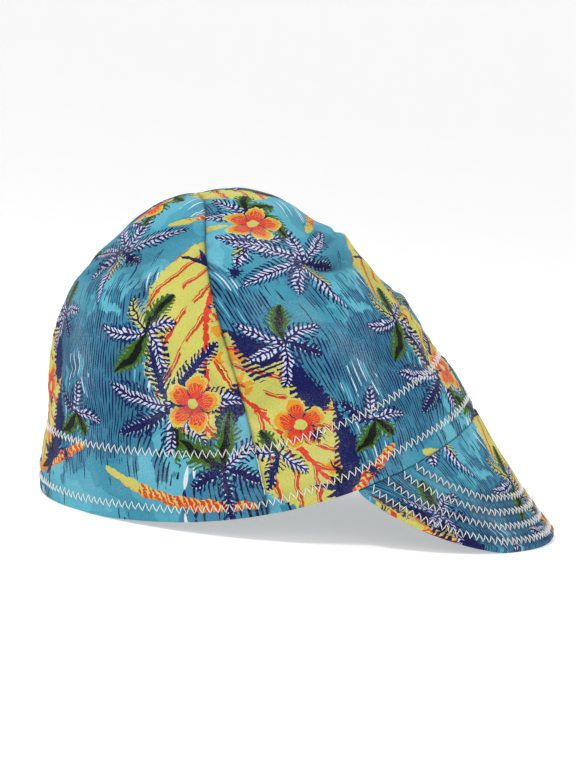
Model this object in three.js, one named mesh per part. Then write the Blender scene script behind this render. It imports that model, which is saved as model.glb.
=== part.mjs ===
// A welder's soft cap: four sewn gores, a sweatband inside the hem and a quilted bill that droops.
// It stands as it is put down on a table: on the back of its hem and on the front edge of its bill.
// Millimetres and degrees. +X is forward, +Y is the wearer's left, +Z is up, and the table is z = 0.
import * as THREE from "three";

// Crown
const RIM_LENGTH = 207; // outside of the hem, front to back
const RIM_WIDTH = 167; // outside of the hem, side to side
const CROWN_HEIGHT = 123; // front and back of the hem to the apex, square to the line between them
const CLOTH = 1.5; // wall of a gore with its turned seams
const SEAM_GAP = 0.3; // clearance between pieces that are sewn together
const GORE_PUFF = 7; // how far a gore swells between its two seams, at most
const SEAM_DIP = 0.7; // how evenly it swells: less than 1 gives a narrow valley at the seam
const HEM_SAG = 16; // how far the hem hangs over the ears below its front and back
const SAG_FADE = 1.4; // how fast that sag is lost on the way up
const APEX_HOLE = 1.2; // radius left open where the four tips meet

// Sweatband
const BAND_HEIGHT = 32;
const BAND_CLOTH = 1.4;
const BAND_SETBACK = 1; // how far its lower edge stays above the hem

// Bill
const BILL_WIDTH = 73; // as cut, at its middle
const BILL_PRESSED = 2; // part of that width which the table turns away
const BILL_THICKNESS = 3; // upper ply, middle plies and under ply
const BILL_SPREAD = 67; // from straight ahead to each corner of the bill
const BILL_ROUND = 3; // how much shorter the bill ends at its middle, where its edge is clear of the table
const BILL_ROUND_ARC = 12; // how far that goes to each side of the middle
const BILL_DROOP = 66; // below the line from the front of the hem to its back
const BILL_CURL = 1.5; // hollow of its slope between root and edge
const TONGUE_HEIGHT = 8; // seam allowance that goes up between gore and sweatband
const TONGUE_CLOTH = 1.2;

// Arc of the hem, each way from the middle of the back, that lies flat on the table, and where it ends
const REST_ARC = 40;
const REST_FADE = 55;

// Steps of the meshes
const GORE_STEPS = 18;
const CROWN_STEPS = 22;
const BAND_STEPS = 72;
const BAND_ROWS = 3;
const BILL_STEPS = 40;
const BILL_ROWS = 8;

// The crown's seams from the hem to the apex: rise is a share of CROWN_HEIGHT, front and back are
// shares of half of RIM_LENGTH, and side is a share of half of RIM_WIDTH. The gores between the seams
// stand out by puff, a share of GORE_PUFF.
const CROWN_ROWS = [
  { rise: 0.0, front: 1.0, back: 1.0, side: 1.0, puff: 0.0 },
  { rise: 0.1, front: 0.966, back: 0.98, side: 1.01, puff: 0.1 },
  { rise: 0.2, front: 0.91, back: 0.935, side: 1.015, puff: 0.35 },
  { rise: 0.32, front: 0.835, back: 0.88, side: 1.0, puff: 0.6 },
  { rise: 0.45, front: 0.745, back: 0.83, side: 0.96, puff: 0.8 },
  { rise: 0.58, front: 0.65, back: 0.775, side: 0.89, puff: 0.9 },
  { rise: 0.7, front: 0.54, back: 0.69, side: 0.79, puff: 0.9 },
  { rise: 0.81, front: 0.43, back: 0.57, side: 0.66, puff: 0.75 },
  { rise: 0.9, front: 0.305, back: 0.41, side: 0.5, puff: 0.55 },
  { rise: 0.965, front: 0.165, back: 0.245, side: 0.3, puff: 0.35 },
  { rise: 1.0, front: -0.063, back: 0.063, side: 0.0, puff: 0.0 },
];

// Main dents (depth below zero) and bulges of the soft crown. angle is from straight ahead, the
// wearer's left positive. level is a share of the way from hem to apex, span and tall are shares of
// RIM_LENGTH, and depth is a share of CLOTH.
const FOLDS = [
  { name: "swell past the front seam", angle: 10, level: 0.38, span: 0.06, tall: 0.05, depth: 2.2 },
  { name: "pucker at the front seam", angle: -8, level: 0.43, span: 0.05, tall: 0.03, depth: -1.5 },
  { name: "dent above the bill", angle: 0, level: 0.3, span: 0.07, tall: 0.03, depth: -0.8 },
  { name: "dent above the temple", angle: -30, level: 0.7, span: 0.09, tall: 0.035, depth: -1.8 },
  { name: "swell under that dent", angle: -25, level: 0.62, span: 0.09, tall: 0.035, depth: 1.0 },
  { name: "crease behind the crown", angle: -150, level: 0.72, span: 0.08, tall: 0.03, depth: -1.6 },
  { name: "crease beside the side seam", angle: -118, level: 0.68, span: 0.04, tall: 0.08, depth: -1.0 },
  { name: "left temple dent", angle: 40, level: 0.58, span: 0.09, tall: 0.05, depth: -1.2 },
];

const GORE_NAMES = ["front_left", "back_left", "back_right", "front_right"];

const COLOURS = { print: 0x4fa3b8, band: 0x6fa9b5, bill: 0x3f8aa6 };

const halfLength = RIM_LENGTH / 2;
const halfWidth = RIM_WIDTH / 2;
const goreAngle = (2 * Math.PI) / GORE_NAMES.length;
const droop = THREE.MathUtils.degToRad(BILL_DROOP);
const spread = THREE.MathUtils.degToRad(BILL_SPREAD);
const roundArc = THREE.MathUtils.degToRad(BILL_ROUND_ARC);
const restWidth = BILL_WIDTH - BILL_PRESSED;

// The cap leans back until the back of the hem and the front of the bill both touch the table.
const pitch = Math.atan2(
  SEAM_GAP + restWidth * Math.sin(droop),
  RIM_LENGTH + restWidth * Math.cos(droop),
);

// Height above the table of a point in the cap's own frame, whose z = 0 is the plane of the hem.
function heightAboveTable(point) {
  return (point.x + halfLength) * Math.sin(pitch) + point.z * Math.cos(pitch);
}

const reachCurve = new THREE.CatmullRomCurve3(
  CROWN_ROWS.map((row) => new THREE.Vector3(row.front, row.back, row.side)),
  false,
  "catmullrom",
  0.5,
);
const riseCurve = new THREE.CatmullRomCurve3(
  CROWN_ROWS.map((row) => new THREE.Vector3(row.rise, row.puff, 0)),
  false,
  "catmullrom",
  0.5,
);

// Height of a point of the crown in the cap's own frame, with the hem's sag fading out upwards.
function crownHeight(angle, level) {
  const rise = riseCurve.getPoint(level).x;
  return rise * CROWN_HEIGHT - HEM_SAG * Math.sin(angle) ** 2 * (1 - rise) ** SAG_FADE;
}

// Level, from 0 at the hem to 1 at the apex, up to which a test holds.
function levelUpTo(holds) {
  let low = 0;
  let high = 1;
  for (let step = 0; step < 30; step++) {
    const middle = (low + high) / 2;
    if (holds(middle)) low = middle;
    else high = middle;
  }
  return low;
}

// Level at which the crown stands a given height above its hem.
function levelAbove(angle, height) {
  const hem = crownHeight(angle, 0);
  return levelUpTo((level) => crownHeight(angle, level) - hem < height);
}

const bandLevel = levelAbove(0, BAND_HEIGHT);
const apexLevel = levelUpTo((level) => reachCurve.getPoint(level).z * halfWidth > APEX_HOLE);

// The crown without its puff and folds.
function plainCrown(angle, level) {
  const reach = reachCurve.getPoint(level);
  const centre = ((reach.x - reach.y) / 2) * halfLength;
  const x = centre + ((reach.x + reach.y) / 2) * halfLength * Math.cos(angle);
  const y = reach.z * halfWidth * Math.sin(angle);
  return new THREE.Vector3(x, y, crownHeight(angle, level));
}

function signed(angle) {
  return Math.atan2(Math.sin(angle), Math.cos(angle));
}

// Outward direction in which the wall is thick. It is level at the hem, so that the hem is cut flat.
function crownNormal(angle, level) {
  const step = 1e-3;
  const around = plainCrown(angle + step, level).sub(plainCrown(angle - step, level));
  const up = plainCrown(angle, Math.min(level + step, 1)).sub(plainCrown(angle, Math.max(level - step, 0)));
  const normal = around.cross(up).normalize();
  normal.z *= THREE.MathUtils.smoothstep(level, 0, bandLevel);
  return normal.normalize();
}

// How far the cloth stands out of the plain crown: the gore's puff and the folds, which fade to
// nothing at the sweatband that holds the cloth.
function relief(angle, level) {
  const acrossGore = Math.abs(Math.sin((Math.PI * angle) / goreAngle)) ** SEAM_DIP;
  const puff = GORE_PUFF * acrossGore * riseCurve.getPoint(level).y;
  const here = plainCrown(angle, level);
  let folds = 0;
  for (const fold of FOLDS) {
    const centre = plainCrown(THREE.MathUtils.degToRad(fold.angle), fold.level);
    const along = Math.hypot(here.x - centre.x, here.y - centre.y) / (fold.span * RIM_LENGTH);
    const up = (here.z - centre.z) / (fold.tall * RIM_LENGTH);
    folds += fold.depth * CLOTH * Math.exp(-(along ** 2) - up ** 2);
  }
  return puff + folds * THREE.MathUtils.smoothstep(level, bandLevel * 0.6, bandLevel * 1.6);
}

// Share of the hem's height above the table that the cloth gives up to lie flat.
function restShare(angle) {
  const fromBack = THREE.MathUtils.radToDeg(Math.PI - Math.abs(signed(angle)));
  return 1 - THREE.MathUtils.smoothstep(fromBack, REST_ARC, REST_FADE);
}

// A point of the crown's wall, depth millimetres in from its outer face.
function crownPoint(angle, level, depth) {
  const out = relief(angle, level) - depth;
  const point = plainCrown(angle, level).addScaledVector(crownNormal(angle, level), out);
  const hem = plainCrown(angle, 0);
  if (level === 0) hem.addScaledVector(crownNormal(angle, 0), -depth);
  const fade = Math.max(0, 1 - level / bandLevel);
  point.z -= (restShare(angle) * fade * heightAboveTable(hem)) / Math.cos(pitch);
  return point;
}

// A closed mesh from rings of points: each ring closes on itself, and the first and last ring are
// capped, or joined to each other where the loft goes right round.
function loft(rings, goesRound) {
  const count = rings[0].length;
  const positions = rings.flat().flatMap((point) => point.toArray());
  const index = [];
  const last = goesRound ? rings.length : rings.length - 1;
  for (let i = 0; i < last; i++) {
    const next = (i + 1) % rings.length;
    for (let j = 0; j < count; j++) {
      const k = (j + 1) % count;
      index.push(i * count + j, next * count + j, next * count + k);
      index.push(i * count + j, next * count + k, i * count + k);
    }
  }
  if (!goesRound) {
    index.push(...endOf(count, 0, true), ...endOf(count, (rings.length - 1) * count, false));
  }
  const geometry = new THREE.BufferGeometry();
  geometry.setAttribute("position", new THREE.Float32BufferAttribute(positions, 3));
  geometry.setIndex(index);
  geometry.computeVertexNormals();
  return geometry;
}

// Triangles across a ring of a wall: its first half runs up one face and its second half comes back
// down the other, so that each point has a partner straight across.
function endOf(count, start, facesBack) {
  const triangles = [];
  for (let j = 0; j < count / 2 - 1; j++) {
    const corners = [j, j + 1, count - 2 - j, count - 1 - j].map((corner) => corner + start);
    const [a, b, c, d] = facesBack ? corners : [corners[1], corners[0], corners[3], corners[2]];
    triangles.push(a, b, c, a, c, d);
  }
  return triangles;
}

// One gore: a ring of wall section at each angle from seam to seam.
function goreGeometry(middle) {
  const rings = [];
  for (let i = 0; i <= GORE_STEPS; i++) {
    const share = (2 * i) / GORE_STEPS - 1;
    const outer = [];
    const inner = [];
    for (let j = 0; j <= CROWN_STEPS; j++) {
      const level = (apexLevel * j) / CROWN_STEPS;
      const seam = middle + (share * goreAngle) / 2;
      const perRadian = plainCrown(seam + 0.01, level).distanceTo(plainCrown(seam - 0.01, level)) / 0.02;
      const angle = seam - (share * SEAM_GAP) / 2 / perRadian;
      outer.push(crownPoint(angle, level, 0));
      inner.unshift(crownPoint(angle, level, CLOTH));
    }
    rings.push([...outer, ...inner]);
  }
  return loft(rings, false);
}

// Room that the bill's tongue takes between gore and sweatband, faded in past the bill's corners.
function tongueRoom(angle) {
  const beyond = Math.abs(signed(angle)) / spread;
  return (TONGUE_CLOTH + SEAM_GAP) * (1 - THREE.MathUtils.smoothstep(beyond, 1.04, 1.2));
}

function sweatbandGeometry() {
  const rings = [];
  for (let i = 0; i < BAND_STEPS; i++) {
    const angle = (2 * Math.PI * i) / BAND_STEPS;
    const outside = CLOTH + SEAM_GAP + tongueRoom(angle);
    const outer = [];
    const inner = [];
    for (let j = 0; j <= BAND_ROWS; j++) {
      const level = levelAbove(angle, THREE.MathUtils.lerp(BAND_SETBACK, BAND_HEIGHT, j / BAND_ROWS));
      outer.push(crownPoint(angle, level, outside));
      inner.unshift(crownPoint(angle, level, outside + BAND_CLOTH));
    }
    rings.push([...outer, ...inner]);
  }
  return loft(rings, true);
}

// The bill's section at an angle, as a ring: up the tongue's outside, out along the upper face to
// the edge, back along the underside and up the tongue's inside. Each half has as many points.
function billRing(angle) {
  const hem = plainCrown(angle, 0);
  const outward = crownNormal(angle, 0);
  const at = (out, up) => hem.clone().addScaledVector(outward, out).add(new THREE.Vector3(0, 0, up));
  const taper = Math.max(0, 1 - (angle / spread) ** 2) ** 0.85;
  const tongueOut = CLOTH + SEAM_GAP;
  const tongueIn = tongueOut + TONGUE_CLOTH;
  const tongueTop = levelAbove(angle, TONGUE_HEIGHT);
  const tongue = (depth) => [
    crownPoint(angle, tongueTop, depth),
    crownPoint(angle, tongueTop / 2, depth),
    crownPoint(angle, 0, depth).add(new THREE.Vector3(0, 0, -SEAM_GAP)),
  ];

  // Width at which a face of the bill meets the table, or its cut width where it doesn't, less what
  // rounds its middle.
  const widthFrom = (root) => {
    const fall = Math.sin(droop) * Math.cos(pitch) - outward.x * Math.cos(droop) * Math.sin(pitch);
    const rounded = BILL_ROUND * Math.exp(-((angle / roundArc) ** 2));
    return Math.min(BILL_WIDTH * taper, heightAboveTable(root) / fall) - rounded;
  };
  const slope = (rootOut, rootUp) => {
    const width = widthFrom(at(rootOut, rootUp));
    const points = [];
    for (let j = 0; j <= BILL_ROWS; j++) {
      const share = j / BILL_ROWS;
      const hollow = BILL_CURL * taper * 4 * share * (1 - share);
      const out = rootOut + share * width * Math.cos(droop) - hollow * Math.sin(droop);
      const up = rootUp - share * width * Math.sin(droop) - hollow * Math.cos(droop);
      points.push(at(out, up));
    }
    return points;
  };
  const upperRoot = [0, -SEAM_GAP];
  const underRoot = [
    -BILL_THICKNESS * Math.sin(droop),
    -SEAM_GAP - BILL_THICKNESS * Math.cos(droop),
  ];
  const upper = [...tongue(tongueOut), ...slope(...upperRoot)];
  const under = [...tongue(tongueIn), ...slope(...underRoot)];
  return [...under, ...upper.reverse()];
}

function billGeometry() {
  const rings = [];
  const corner = 0.985 * spread;
  for (let i = 0; i <= BILL_STEPS; i++) {
    rings.push(billRing(corner * ((2 * i) / BILL_STEPS - 1)));
  }
  return loft(rings, false);
}

function piece(name, geometry, colour) {
  const material = new THREE.MeshStandardMaterial({ color: colour, roughness: 0.85, metalness: 0 });
  const mesh = new THREE.Mesh(geometry, material);
  mesh.name = name;
  return mesh;
}

const leaning = new THREE.Group();
GORE_NAMES.forEach((name, i) => {
  leaning.add(piece(`gore_${name}`, goreGeometry((i + 0.5) * goreAngle), COLOURS.print));
});
leaning.add(piece("sweatband", sweatbandGeometry(), COLOURS.band));
leaning.add(piece("bill", billGeometry(), COLOURS.bill));
leaning.rotation.y = -pitch;
leaning.position.z = halfLength * Math.sin(pitch);

// The origin is on the table, under the middle of the cap's length and width.
const wholeCap = new THREE.Group();
wholeCap.add(leaning);
wholeCap.updateMatrixWorld(true);
const box = new THREE.Box3().setFromObject(leaning, true);
leaning.position.x -= (box.min.x + box.max.x) / 2;

export default wholeCap;
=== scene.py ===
# %% [markdown]
# A soft welding cap, from its imported model to its picture.
# A welding cap is a cotton cap that fits under a helmet. Four gores of printed cloth make its crown,
# a sweatband sits inside the hem, and a quilted bill droops in front. It stands here as it is put
# down, on the back of its hem and the front edge of its bill.
# Such a cap could be sculpted freely and scaled to fit afterwards. Here the imported model is loaded
# first and is the frame that every piece keeps to, so nothing has to be fitted, and its box is kept.

# %% The imported model
import math

import bmesh
import bpy
import numpy as np
from mathutils import Matrix, Vector


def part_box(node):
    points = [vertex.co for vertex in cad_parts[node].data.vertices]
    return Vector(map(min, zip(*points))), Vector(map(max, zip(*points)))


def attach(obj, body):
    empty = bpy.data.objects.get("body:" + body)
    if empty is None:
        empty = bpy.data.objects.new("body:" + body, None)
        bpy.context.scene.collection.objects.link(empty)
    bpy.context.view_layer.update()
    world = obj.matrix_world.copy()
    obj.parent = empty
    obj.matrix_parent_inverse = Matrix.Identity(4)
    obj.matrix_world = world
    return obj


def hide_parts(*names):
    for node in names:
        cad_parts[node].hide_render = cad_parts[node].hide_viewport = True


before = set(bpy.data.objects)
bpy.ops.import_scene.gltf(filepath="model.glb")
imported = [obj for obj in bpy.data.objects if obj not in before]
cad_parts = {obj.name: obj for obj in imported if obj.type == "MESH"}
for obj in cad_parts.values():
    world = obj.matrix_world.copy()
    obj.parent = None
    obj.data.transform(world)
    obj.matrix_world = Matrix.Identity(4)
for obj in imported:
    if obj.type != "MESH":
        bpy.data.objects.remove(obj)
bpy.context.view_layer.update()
print("solids", sorted(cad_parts))

# %% [markdown]
# The real cap is cut and sewn to a few sizes. They could be measured on the solids, but a box doesn't
# tell how far a hem sags or a bill droops. So the driving sizes of the solids are named here again,
# in millimetres and degrees, and everything below is worked out from them.
# Two differ a little from the solids: SEAM_DIP, which is 0.7 there, makes the valley at a seam wider
# here, and BILL_ROUND, which is 3 there, is how far the bill's edge draws back at its middle. The
# cap's own frame has its hem at z = 0 and +X forward, and the pitch is the angle by which the cap
# leans on the table.

# %% Sizes
GORES = 4
RIM_LENGTH = 207
RIM_WIDTH = 167
CROWN_HEIGHT = 123
GORE_PUFF = 7
SEAM_DIP = 0.9
HEM_SAG = 16
SAG_FADE = 1.4
BAND_HEIGHT = 32
BAND_DEPTH = 1.8
BAND_CLOTH = 1.4
BILL_WIDTH = 73
BILL_PRESSED = 2
BILL_THICKNESS = 3
BILL_SPREAD = 67
BILL_DROOP = 66
BILL_CURL = 1.5
BILL_ROUND = 2
BILL_ROUND_ARC = 12
SEAM_GAP = 0.3

half_length = RIM_LENGTH / 2
half_width = RIM_WIDTH / 2
droop = math.radians(BILL_DROOP)
spread = math.radians(BILL_SPREAD)
pressed_width = BILL_WIDTH - BILL_PRESSED
pitch = math.atan2(
    SEAM_GAP + pressed_width * math.sin(droop),
    RIM_LENGTH + pressed_width * math.cos(droop),
)
print("pitch in degrees", round(math.degrees(pitch), 2))

# %% [markdown]
# The crown is nearly upright over the hem, steeper behind than in front, and closes at a point. A
# scaled ball would miss that, and a drawn outline would give one side only. A table of sections gives
# all sides at once, and each row can be set against the photograph by itself.
# Each row holds shares: rise of the height, front and back of half the length, side of half the
# width, and puff, by which a gore stands out between its seams.

# %% The crown's table
CROWN_ROWS = np.array(
    [
        # rise, front, back, side, puff
        (0.0, 1.0, 1.0, 1.0, 0.0),
        (0.1, 0.966, 0.98, 1.01, 0.1),
        (0.2, 0.91, 0.935, 1.015, 0.35),
        (0.32, 0.835, 0.88, 1.0, 0.6),
        (0.45, 0.745, 0.83, 0.96, 0.8),
        (0.58, 0.65, 0.775, 0.89, 0.9),
        (0.7, 0.54, 0.69, 0.79, 0.9),
        (0.81, 0.43, 0.57, 0.66, 0.75),
        (0.9, 0.305, 0.41, 0.5, 0.55),
        (0.965, 0.165, 0.245, 0.3, 0.35),
        (1.0, -0.063, 0.063, 0.0, 0.0),
    ]
)
print("crown sections", len(CROWN_ROWS))

# %% [markdown]
# A soft crown has dents and bulges where it was pressed and put down. A cloth simulation would give
# such folds, but in places of its own. Here each fold is one soft bump or dent with a place, so that
# it lies where the photograph shows it, or on the hidden side where one is likely.
# Angle is in degrees from straight ahead, with the wearer's left positive, and level is the share of
# the way up. The other three are millimetres, and a dent's depth is below zero. The first eight are
# the main folds, which the solids have too. The rest are puckers that only this scene has.

# %% The folds' table
FOLDS = [
    # angle, level, along, tall, depth
    (10, 0.38, 12.4, 10.4, 3.3),
    (-8, 0.43, 10.4, 6.2, -2.25),
    (0, 0.3, 14.5, 6.2, -1.2),
    (-30, 0.7, 18.6, 7.2, -2.7),
    (-25, 0.62, 18.6, 7.2, 1.5),
    (-150, 0.72, 16.6, 6.2, -2.4),
    (-118, 0.68, 8.3, 16.6, -1.5),
    (40, 0.58, 18.6, 10.4, -1.8),
    (-41, 0.565, 13, 4.5, -2.55),
    (-40, 0.605, 15, 4, 1.35),
    (-46, 0.635, 3.5, 7, -1.2),
    (-136, 0.735, 6, 4, -1.35),
    (-129, 0.69, 5, 5, -1.5),
    (-123, 0.645, 5, 6, -1.65),
    (-117, 0.6, 4.5, 7, -1.5),
    (-113, 0.56, 4.5, 7, -1.2),
    (-149, 0.665, 5, 3.5, -1.5),
    (-148, 0.695, 5, 3.5, 1.2),
    (-142, 0.7, 5.5, 3, -1.5),
    (-137, 0.72, 5, 3, 1.05),
    (-30, 0.3, 9, 3.5, 1.35),
    (-22, 0.27, 8, 3, -1.05),
    (-75, 0.34, 12, 5, -0.9),
    (-160, 0.33, 8, 10, 1.2),
    (-108, 0.33, 10, 6, -0.9),
    (132, 0.66, 7, 9, -1.65),
    (118, 0.6, 9, 5, 1.2),
    (66, 0.42, 12, 6, -1.35),
    (28, 0.48, 9, 5, -1.35),
]
print("folds", len(FOLDS))

# %% [markdown]
# A crease is sharper than a fold. On the real cap it is a line where the cloth was bent, with a low
# lip on either side. It could be cut in with a brush by hand, but then it would be lost with every
# change of the crown. So each crease is a row from one place on the crown to another, in the angles
# and levels of the folds, with its width and depth in millimetres.

# %% The creases' table
CREASES = [
    # angle, level, to angle, to level, width, depth
    (9, 0.67, -44, 0.612, 2.2, 1.8),
    (13, 0.425, -28, 0.39, 2.1, 2.3),
    (-160, 0.655, -140, 0.705, 2.0, 2.2),
    (-133, 0.675, -127, 0.735, 1.7, 1.8),
    (-123, 0.67, -113, 0.58, 2.0, 1.4),
    (-113, 0.58, -110, 0.5, 1.8, 1.1),
    (-50, 0.575, -26, 0.55, 2.8, 1.7),
    (-18, 0.37, -33, 0.33, 1.9, 1.2),
    (-9, 0.34, -24, 0.3, 1.8, 1.0),
    (-100, 0.87, -86, 0.845, 1.7, 0.9),
    (-70, 0.5, -60, 0.44, 2.4, 0.8),
    (-152, 0.4, -138, 0.44, 2.6, 0.9),
    (34, 0.62, 58, 0.67, 2.4, 2.0),
    (12, 0.4, 42, 0.37, 2.3, 1.8),
    (126, 0.7, 152, 0.66, 2.2, 1.8),
    (114, 0.6, 121, 0.49, 2.0, 1.2),
    (158, 0.5, 176, 0.55, 2.2, 1.4),
    (-110, 0.33, -92, 0.3, 2.0, 1.3),
    (-98, 0.42, -94, 0.3, 2.4, 0.7),
    (-55, 0.6, -36, 0.55, 2.2, 1.2),
    (76, 0.88, 92, 0.85, 1.7, 0.9),
]
print("creases", len(CREASES))

# %% [markdown]
# The tables hold a few rows, and the cloth between them is smooth. Straight steps from row to row
# would show as rings, so a curve is laid through the rows. The soft step and the bell are the two
# shapes that all fades and dents below are made with.

# %% Reading the tables
def read_rows(rows, level):
    points = np.vstack([2 * rows[0] - rows[1], rows, 2 * rows[-1] - rows[-2]])
    place = np.clip(level, 0, 1) * (len(rows) - 1)
    start = np.minimum(place.astype(int), len(rows) - 2)
    t = (place - start)[..., None]
    a, b, c, d = (points[start + step] for step in range(4))
    return 0.5 * (2 * b + (c - a) * t + (2 * a - 5 * b + 4 * c - d) * t**2 + (3 * b - a - 3 * c + d) * t**3)


def soft_step(value, low, high):
    share = np.clip((value - low) / (high - low), 0, 1)
    return share * share * (3 - 2 * share)


def bell(value, width):
    return np.exp(-((value / width) ** 2))


print("widest puff", round(float(read_rows(CROWN_ROWS, np.linspace(0, 1, 101))[:, 4].max()), 2))

# %% [markdown]
# This is the cap as its pattern was cut, without puff or folds: for each angle and level, where a
# seam would run. A curve object with a bevel could draw such seams, but a function can also be asked
# for any point between them. The hem hangs lower over the ears, which fades on the way up. The
# inverse, from a height in millimetres back to a level, places the stitches and the sweatband's edge.

# %% The plain crown
def crown_height(angle, level):
    rise = read_rows(CROWN_ROWS, level)[..., 0]
    return rise * CROWN_HEIGHT - HEM_SAG * np.sin(angle) ** 2 * np.clip(1 - rise, 0, 1) ** SAG_FADE


def plain_crown(angle, level):
    angle, level = np.broadcast_arrays(np.asarray(angle, float), np.asarray(level, float))
    _, front, back, side, _ = np.moveaxis(read_rows(CROWN_ROWS, level), -1, 0)
    x = (front - back) / 2 * half_length + (front + back) / 2 * half_length * np.cos(angle)
    return np.stack([x, side * half_width * np.sin(angle), crown_height(angle, level)], -1)


HALVINGS = 30


def level_above(angle, height):
    angle, height = np.broadcast_arrays(np.asarray(angle, float), np.asarray(height, float))
    low, high = np.zeros(angle.shape), np.ones(angle.shape)
    hem = crown_height(angle, low)
    for _ in range(HALVINGS):
        middle = (low + high) / 2
        below = crown_height(angle, middle) - hem < height
        low, high = np.where(below, middle, low), np.where(below, high, middle)
    return low


band_level = float(level_above(0.0, BAND_HEIGHT))
hem_line = plain_crown(np.linspace(0, 2 * math.pi, 361), 0.0)
hem_girth = float(np.linalg.norm(np.diff(hem_line, axis=0), axis=1).sum())
print("hem girth in mm", round(hem_girth, 1), "and the sweatband ends at level", round(band_level, 3))

# %% [markdown]
# Cloth has thickness, which needs a direction. Square to the surface would be right for the crown,
# but at the hem it would tip the rolled edge, so there the direction is made level and turns over
# into the surface's own one at the height of the sweatband.

# %% The wall's direction
def unit(vectors):
    return vectors / np.maximum(np.linalg.norm(vectors, axis=-1, keepdims=True), 1e-9)


def crown_normal(angle, level):
    step = 0.001
    around = plain_crown(angle + step, level) - plain_crown(angle - step, level)
    up = plain_crown(angle, np.minimum(level + step, 1)) - plain_crown(angle, np.maximum(level - step, 0))
    normal = unit(np.cross(around, up))
    normal[..., 2] *= soft_step(level, 0, band_level)
    return unit(normal)


print("outward at the side", crown_normal(math.pi / 2, 0.5).round(3))

# %% [markdown]
# The two tables now become heights on the surface. A texture with a Displace modifier could do this,
# but a place on cloth would then be a place in a picture. Here each crease follows the surface from
# its start to its end, each fold is a bump round its centre, and both fade out towards the stitched
# rows, where the real cloth is held.

# %% Folds and creases
CREASE_PRESS = 1.2
LIP_HEIGHT = 0.45
LIP_REACH = 2.7
LOOSE_FROM = band_level * 0.6
LOOSE_TO = band_level * 1.6


def creases(points):
    pressed = np.zeros(points.shape[:-1])
    for start_angle, start_level, end_angle, end_level, width, depth in CREASES:
        start = plain_crown(math.radians(start_angle), start_level)
        along = plain_crown(math.radians(end_angle), end_level) - start
        share = ((points - start) @ along) / (along @ along)
        reached = np.clip(share, 0, 1)
        angle = np.radians(start_angle + (end_angle - start_angle) * reached)
        nearest = plain_crown(angle, start_level + (end_level - start_level) * reached)
        off = np.linalg.norm(points - nearest, axis=-1)
        deepest = soft_step(share, -0.15, 0.3) * (1 - soft_step(share, 0.7, 1.15)) * 0.7 + 0.3
        profile = LIP_HEIGHT * bell(off, LIP_REACH * width) - bell(off, width)
        pressed += CREASE_PRESS * depth * deepest * profile
    return pressed


def folds(points):
    total = np.zeros(points.shape[:-1])
    for fold_angle, fold_level, along, tall, depth in FOLDS:
        centre = plain_crown(math.radians(fold_angle), fold_level)
        flat = np.hypot(points[..., 0] - centre[0], points[..., 1] - centre[1])
        total += depth * bell(flat, along) * bell(points[..., 2] - centre[2], tall)
    return total


def relief(angle, level):
    across_gore = np.abs(np.sin(GORES / 2 * angle)) ** SEAM_DIP
    puff = GORE_PUFF * across_gore * read_rows(CROWN_ROWS, level)[..., 4]
    return puff + folds(plain_crown(angle, level)) * soft_step(level, LOOSE_FROM, LOOSE_TO)


right_side = plain_crown(np.linspace(-math.pi, 0, 90)[:, None], np.linspace(0.3, 0.9, 40)[None, :])
deepest_fold, deepest_crease = float(folds(right_side).min()), float(creases(right_side).min())
print("right side in mm, deepest fold", round(deepest_fold, 2), "deepest crease", round(deepest_crease, 2))

# %% [markdown]
# A point of the wall is the plain crown, moved along the wall's direction. Where the back of the hem
# lies on the table, the cloth of the real cap gives way. Cutting it off flat would shorten the hem,
# so its lowest stretch is lifted to the table instead, and less so higher up.

# %% The wall's points
REST_ARC = 40
REST_FADE = 55


def above_table(points):
    return (points[..., 0] + half_length) * math.sin(pitch) + points[..., 2] * math.cos(pitch)


def rest_share(angle):
    from_back = 180 - np.degrees(np.abs(np.arctan2(np.sin(angle), np.cos(angle))))
    return 1 - soft_step(from_back, REST_ARC, REST_FADE)


def crown_points(angle, level, depth, fine=0.0):
    angle, level = np.broadcast_arrays(np.asarray(angle, float), np.asarray(level, float))
    out = np.asarray(relief(angle, level) + fine - depth)
    points = plain_crown(angle, level) + crown_normal(angle, level) * out[..., None]
    hem = plain_crown(angle, 0 * level)
    fade = np.maximum(0, 1 - level / band_level)
    points[..., 2] -= rest_share(angle) * fade * above_table(hem) / math.cos(pitch)
    return points


print("cap at 45 degrees, half way up", crown_points(math.pi / 4, 0.5, 0).round(1))

# %% [markdown]
# Everything so far is in the cap's own frame and in millimetres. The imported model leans, and its
# origin lies under the middle of its length. Turning each object would leave its place outside its
# mesh, so the points themselves are turned. The shift along X is measured on a gore that is there
# already, from its rearmost point.

# %% Onto the table
def leaned(points):
    x = points[..., 0] * math.cos(pitch) - points[..., 2] * math.sin(pitch)
    z = points[..., 0] * math.sin(pitch) + points[..., 2] * math.cos(pitch) + half_length * math.sin(pitch)
    return np.stack([x, points[..., 1], z], -1)


rear = crown_points(np.radians(np.linspace(91, 179, 89))[:, None], np.linspace(0, 0.9, 91)[None, :], 0)
table_shift = 1000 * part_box("gore_back_left")[0].x - leaned(rear)[..., 0].min()
print("table shift in mm", round(float(table_shift), 2))


def on_table(points):
    return (leaned(points) + np.array([table_shift, 0, 0])) / 1000


# %% [markdown]
# A piece of cloth is made of rings of points, side by side, as ribs make a hull. Primitives and
# modifiers would give walls too, but with no say in which point lies on which seam. Faces join each
# ring to the next, and the two ends are closed, because a shell with an opening has no inside.

# %% Faces between sections
def faces_around(count, ring, goes_round, inside):
    faces, kinds = [], []
    for i in range(count if goes_round else count - 1):
        after = (i + 1) % count
        for j in range(ring):
            k = (j + 1) % ring
            faces.append((i * ring + j, after * ring + j, after * ring + k, i * ring + k))
            kinds.append(1 if j in inside else 0)
    return faces, kinds


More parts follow.
